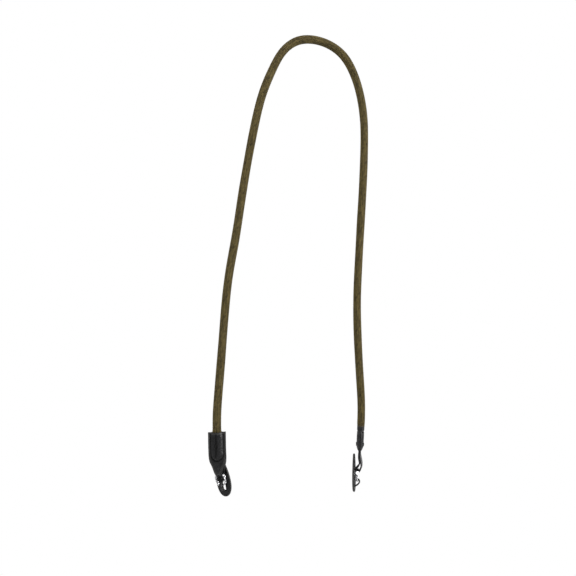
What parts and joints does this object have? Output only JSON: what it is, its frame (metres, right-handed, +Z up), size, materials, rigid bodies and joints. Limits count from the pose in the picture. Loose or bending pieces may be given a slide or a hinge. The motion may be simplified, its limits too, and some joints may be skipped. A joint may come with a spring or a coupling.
{
  "type": "camera shoulder strap",
  "caption": "Camera shoulder strap: a braided olive rope with a black leather tab, a split ring and a leather protector at each end.",
  "frame": {"origin": "underside of the rope at its crown, where the shoulder, hand or hook that holds the strap bears", "axes": "Z up; X from the left end to the right end as the strap hangs; Y away from the viewer"},
  "size_m": [0.1693, 0.019, 0.468],
  "materials": {
    "rope": "braided olive-brown cord, matte",
    "binding": "smooth grey sleeve, satin",
    "leather": "black, fine grain, semi-gloss",
    "steel": "polished"
  },
  "bodies": {
    "root": {"rope": "rope", "rope_end_left": "binding", "rope_end_right": "binding", "end_tab_left": "leather", "end_tab_right": "leather", "split_ring_left": "steel", "split_ring_right": "steel", "protector_left": "leather", "protector_right": "leather"}
  },
  "joints": []
}
